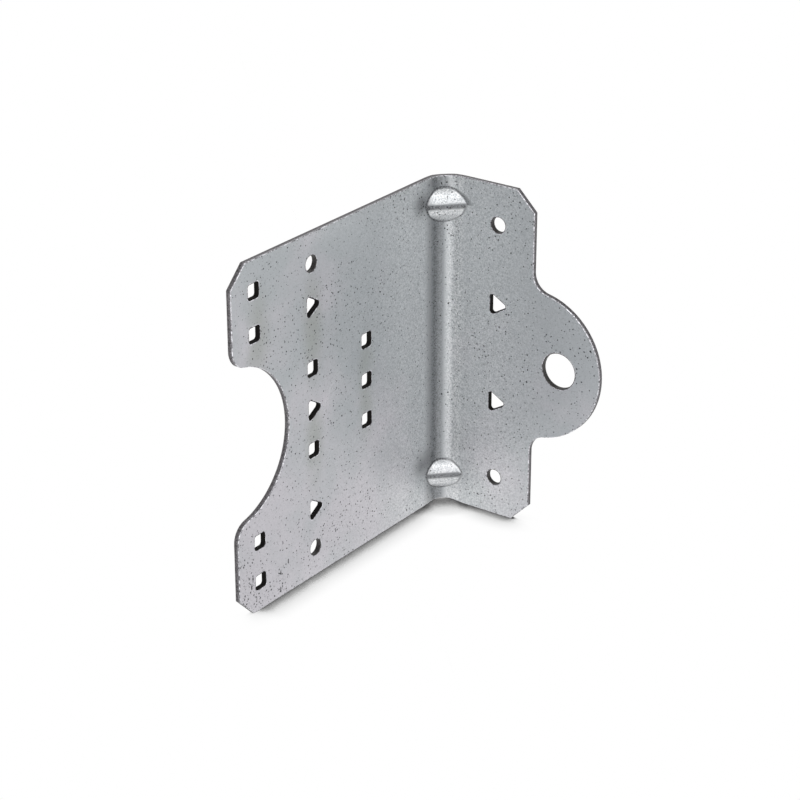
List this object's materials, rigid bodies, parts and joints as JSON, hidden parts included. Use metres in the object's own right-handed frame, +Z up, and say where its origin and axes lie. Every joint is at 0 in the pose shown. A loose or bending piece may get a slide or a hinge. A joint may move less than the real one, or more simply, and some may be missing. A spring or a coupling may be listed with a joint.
{
  "type": "steel stud clip",
  "caption": "Folded sheet-steel angle clip with pressed gussets, punched fastener holes, a scalloped wide leg and a round ear with an anchor hole, for fixing studs to structure.",
  "frame": {"origin": "centre of the footprint, on the surface that the lower cut edges stand on", "axes": "+Z up along the fold; the wide leg lies in the XZ plane and runs to -X from the fold, with its outer face to +Y; the narrow leg lies in the YZ plane and runs to -Y, with its outer face to +X"},
  "size_m": [0.1002, 0.058, 0.107],
  "materials": {
    "galvanised_steel": "hot-dip galvanised sheet, dull grey zinc with fine dark specks"
  },
  "bodies": {
    "root": {"stud_clip": "galvanised_steel"}
  },
  "joints": []
}
